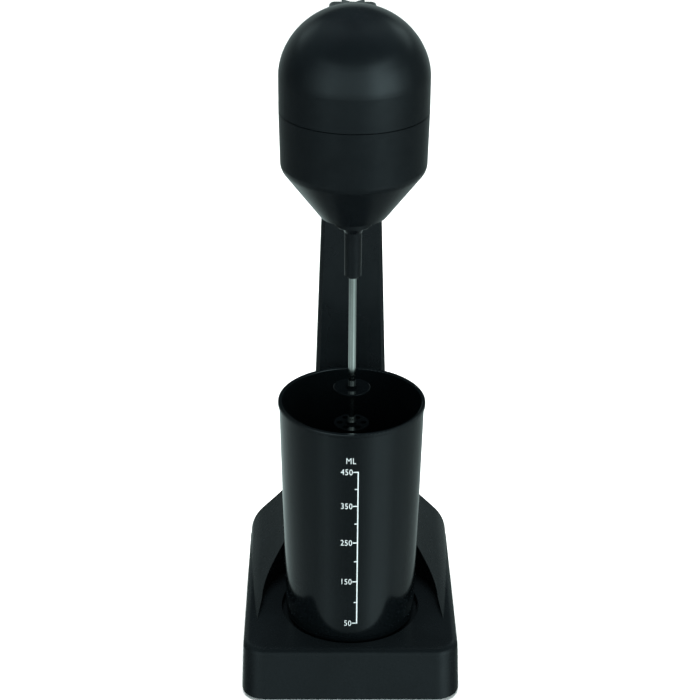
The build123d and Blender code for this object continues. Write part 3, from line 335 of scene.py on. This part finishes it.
def printed_scale():
    """Volume scale: an upright line, ticks every 50 ml, a number every 100 ml and a title."""
    vertices, faces = [], []
    low = SCALE_MARKS[50] * MM
    high = SCALE_MARKS[450] * MM
    flat_bar(vertices, faces, LINE_X - LINE_WIDTH / 2, LINE_X + LINE_WIDTH / 2,
             low - LINE_WIDTH / 2, high + LINE_WIDTH / 2, LINE_ROWS)
    numbers = []
    for volume, height in SCALE_MARKS.items():
        z = height * MM
        major = volume % 100 == 50
        reach = MAJOR_TICK if major else MINOR_TICK
        flat_bar(vertices, faces, LINE_X - LINE_WIDTH / 2 - reach, LINE_X - LINE_WIDTH / 2,
                 z - LINE_WIDTH / 2, z + LINE_WIDTH / 2)
        if major:
            numbers.append(flat_text(f"mark_{volume}", str(volume), DIGIT_HEIGHT,
                                     LINE_X - MAJOR_TICK - LABEL_GAP, z, DIGIT_WEIGHT))
    lines = add_mesh("scale_lines", vertices, faces, ink)
    title = flat_text("scale_title", "ML", TITLE_HEIGHT, TITLE_RIGHT, TITLE_Z, TITLE_WEIGHT)
    for piece in [lines, title] + numbers:
        wrap_on_cup(piece)
        piece.data.materials.clear()
        piece.data.materials.append(ink)
        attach(piece, "cup")


printed_scale()


# ---------------------------------------------------------------- floor, light and surroundings
FLOOR_HALF = 8.0


def make_floor():
    material, tree, shader = blank_material("pale_floor")
    shade = noise(tree, 3.0, 2.0)
    tree.links.new(ramp(tree, shade.outputs["Fac"], grey(0.90), grey(0.92)).outputs["Color"],
                   shader.inputs["Base Color"])
    shader.inputs["Roughness"].default_value = 0.9
    corners = [(x * FLOOR_HALF, y * FLOOR_HALF, 0) for x, y in ((-1, -1), (1, -1), (1, 1), (-1, 1))]
    floor = add_mesh("floor", corners, [(0, 1, 2, 3)], material)
    floor.visible_glossy = False


AIM = (AXIS_X, AXIS_Y, 0.17)
# name, place, width, height, watts
SOFT_BOXES = (("softbox_left", (-0.9, -0.95, 0.55), 0.35, 1.1, 2.2),
              ("softbox_right", (0.95, -0.95, 0.60), 0.45, 1.1, 5.5),
              ("overhead", (0.0, 0.35, 1.6), 1.6, 1.2, 60.0))


def soft_box(name, place, width, height, power):
    """An area light aimed at the machine and hidden from reflections."""
    data = bpy.data.lights.new(name, "AREA")
    data.shape = "RECTANGLE"
    data.size = width
    data.size_y = height
    data.energy = power
    light = bpy.data.objects.new(name, data)
    bpy.context.scene.collection.objects.link(light)
    light.visible_glossy = False
    light.location = place
    light.rotation_mode = "QUATERNION"
    light.rotation_quaternion = (Vector(AIM) - Vector(place)).to_track_quat("-Z", "Y")


def studio_tone(value):
    """Brightness of a studio wall, a little towards cyan."""
    return (0.80 * value, value, 0.98 * value, 1.0)


def brightness_by(tree, source, stops):
    """Studio brightness along a value in the range 0 to 1."""
    node = ramp(tree, source, studio_tone(stops[0][1]), studio_tone(stops[-1][1]), stops[0][0], stops[-1][0])
    for position, value in stops[1:-1]:
        node.color_ramp.elements.new(position).color = studio_tone(value)
    return node.outputs["Color"]


def blend(tree, factor, below, above):
    node = tree.nodes.new("ShaderNodeMix")
    node.data_type = "RGBA"
    tree.links.new(factor, node.inputs[0])
    tree.links.new(below, node.inputs[6])
    tree.links.new(above, node.inputs[7])
    return node.outputs[2]


def compass(degrees):
    """Place on the ring of directions: 0 at the rear, a half at the front, larger to the right."""
    return 0.5 + degrees / 360.0


def step_up(tree, height, low, high):
    node = tree.nodes.new("ShaderNodeMapRange")
    node.interpolation_type = "SMOOTHSTEP"
    tree.links.new(height, node.inputs["Value"])
    node.inputs["From Min"].default_value = low
    node.inputs["From Max"].default_value = high
    return node.outputs["Result"]


# brightness of the studio round the set: (degrees right of the front, level)
DOWN_RING = [(-180, 0.16), (-90, 0.07), (-45, 0.12), (0, 0.22), (45, 0.17), (90, 0.09), (180, 0.18)]
CUP_RING = [(-180, 0.76), (-150, 0.64), (-115, 0.42), (-85, 0.31), (-62, 0.34), (-42, 0.55), (-24, 0.36),
            (-8, 0.25), (10, 0.28), (26, 0.52), (40, 0.88), (58, 0.76), (76, 0.42), (110, 0.28),
            (140, 0.32), (180, 0.46)]
HEAD_RING = [(-180, 0.32), (-150, 0.18), (-115, 0.12), (-75, 0.12), (-45, 0.16), (0, 0.24), (22, 0.28),
             (45, 0.34), (68, 0.30), (90, 0.20), (130, 0.16), (180, 0.34)]
LEVEL_RING = [(-180, 0.40), (-150, 0.32), (-115, 0.08), (-89, 0.08), (-71, 0.40), (-39, 1.80), (-15, 1.35),
              (0, 1.30), (15, 1.60), (38, 3.70), (55, 3.00), (76, 0.90), (95, 0.20), (125, 0.10),
              (150, 0.35), (180, 0.40)]
RAISED_RING = [(-180, 0.02), (-155, 0.04), (-137, 0.95), (-112, 0.20), (-89, 0.08), (-71, 0.35), (-39, 1.50),
               (-15, 1.20), (0, 1.20), (15, 1.40), (38, 3.00), (55, 2.20), (76, 0.60), (95, 0.12),
               (112, 0.20), (137, 1.20), (155, 0.04), (180, 0.02)]
HIGH_RING = [(-180, 0.06), (-155, 0.10), (-130, 0.40), (-110, 0.25), (-70, 0.08), (-20, 0.08), (20, 0.09),
             (70, 0.08), (110, 0.25), (130, 0.45), (155, 0.10), (180, 0.06)]


# heights (sine of elevation) over which each ring gives way to the next
RING_STEPS = ((-0.90, -0.65), (-0.50, -0.38), (-0.36, -0.15), (0.26, 0.40), (0.54, 0.68))


def make_world():
    """Surroundings seen in reflections: one ring of brightness for each height, blended upwards."""
    world = bpy.data.worlds.new("studio")
    bpy.context.scene.world = world
    world.use_nodes = True
    tree = world.node_tree
    coords = tree.nodes.new("ShaderNodeTexCoord")
    split = tree.nodes.new("ShaderNodeSeparateXYZ")
    tree.links.new(coords.outputs["Generated"], split.inputs["Vector"])
    forward = tree.nodes.new("ShaderNodeMath")
    forward.operation = "MULTIPLY"
    forward.inputs[1].default_value = -1.0
    tree.links.new(split.outputs["Y"], forward.inputs[0])
    turn = tree.nodes.new("ShaderNodeMath")
    turn.operation = "ARCTAN2"
    tree.links.new(split.outputs["X"], turn.inputs[0])
    tree.links.new(forward.outputs["Value"], turn.inputs[1])
    ring = tree.nodes.new("ShaderNodeMath")
    ring.operation = "MULTIPLY_ADD"
    ring.inputs[1].default_value = 1.0 / (2.0 * math.pi)
    ring.inputs[2].default_value = 0.5
    tree.links.new(turn.outputs["Value"], ring.inputs[0])
    rings = []
    for stops in (DOWN_RING, CUP_RING, HEAD_RING, LEVEL_RING, RAISED_RING, HIGH_RING):
        places = [(compass(degrees), value) for degrees, value in stops]
        rings.append(brightness_by(tree, ring.outputs["Value"], places))
    whole = rings[0]
    for (low, high), above in zip(RING_STEPS, rings[1:]):
        whole = blend(tree, step_up(tree, split.outputs["Z"], low, high), whole, above)
    tree.links.new(whole, tree.nodes["Background"].inputs["Color"])
    tree.nodes["Background"].inputs["Strength"].default_value = 1.0


make_floor()
make_world()
for soft_box_values in SOFT_BOXES:
    soft_box(*soft_box_values)
bpy.context.scene.view_settings.view_transform = "Standard"
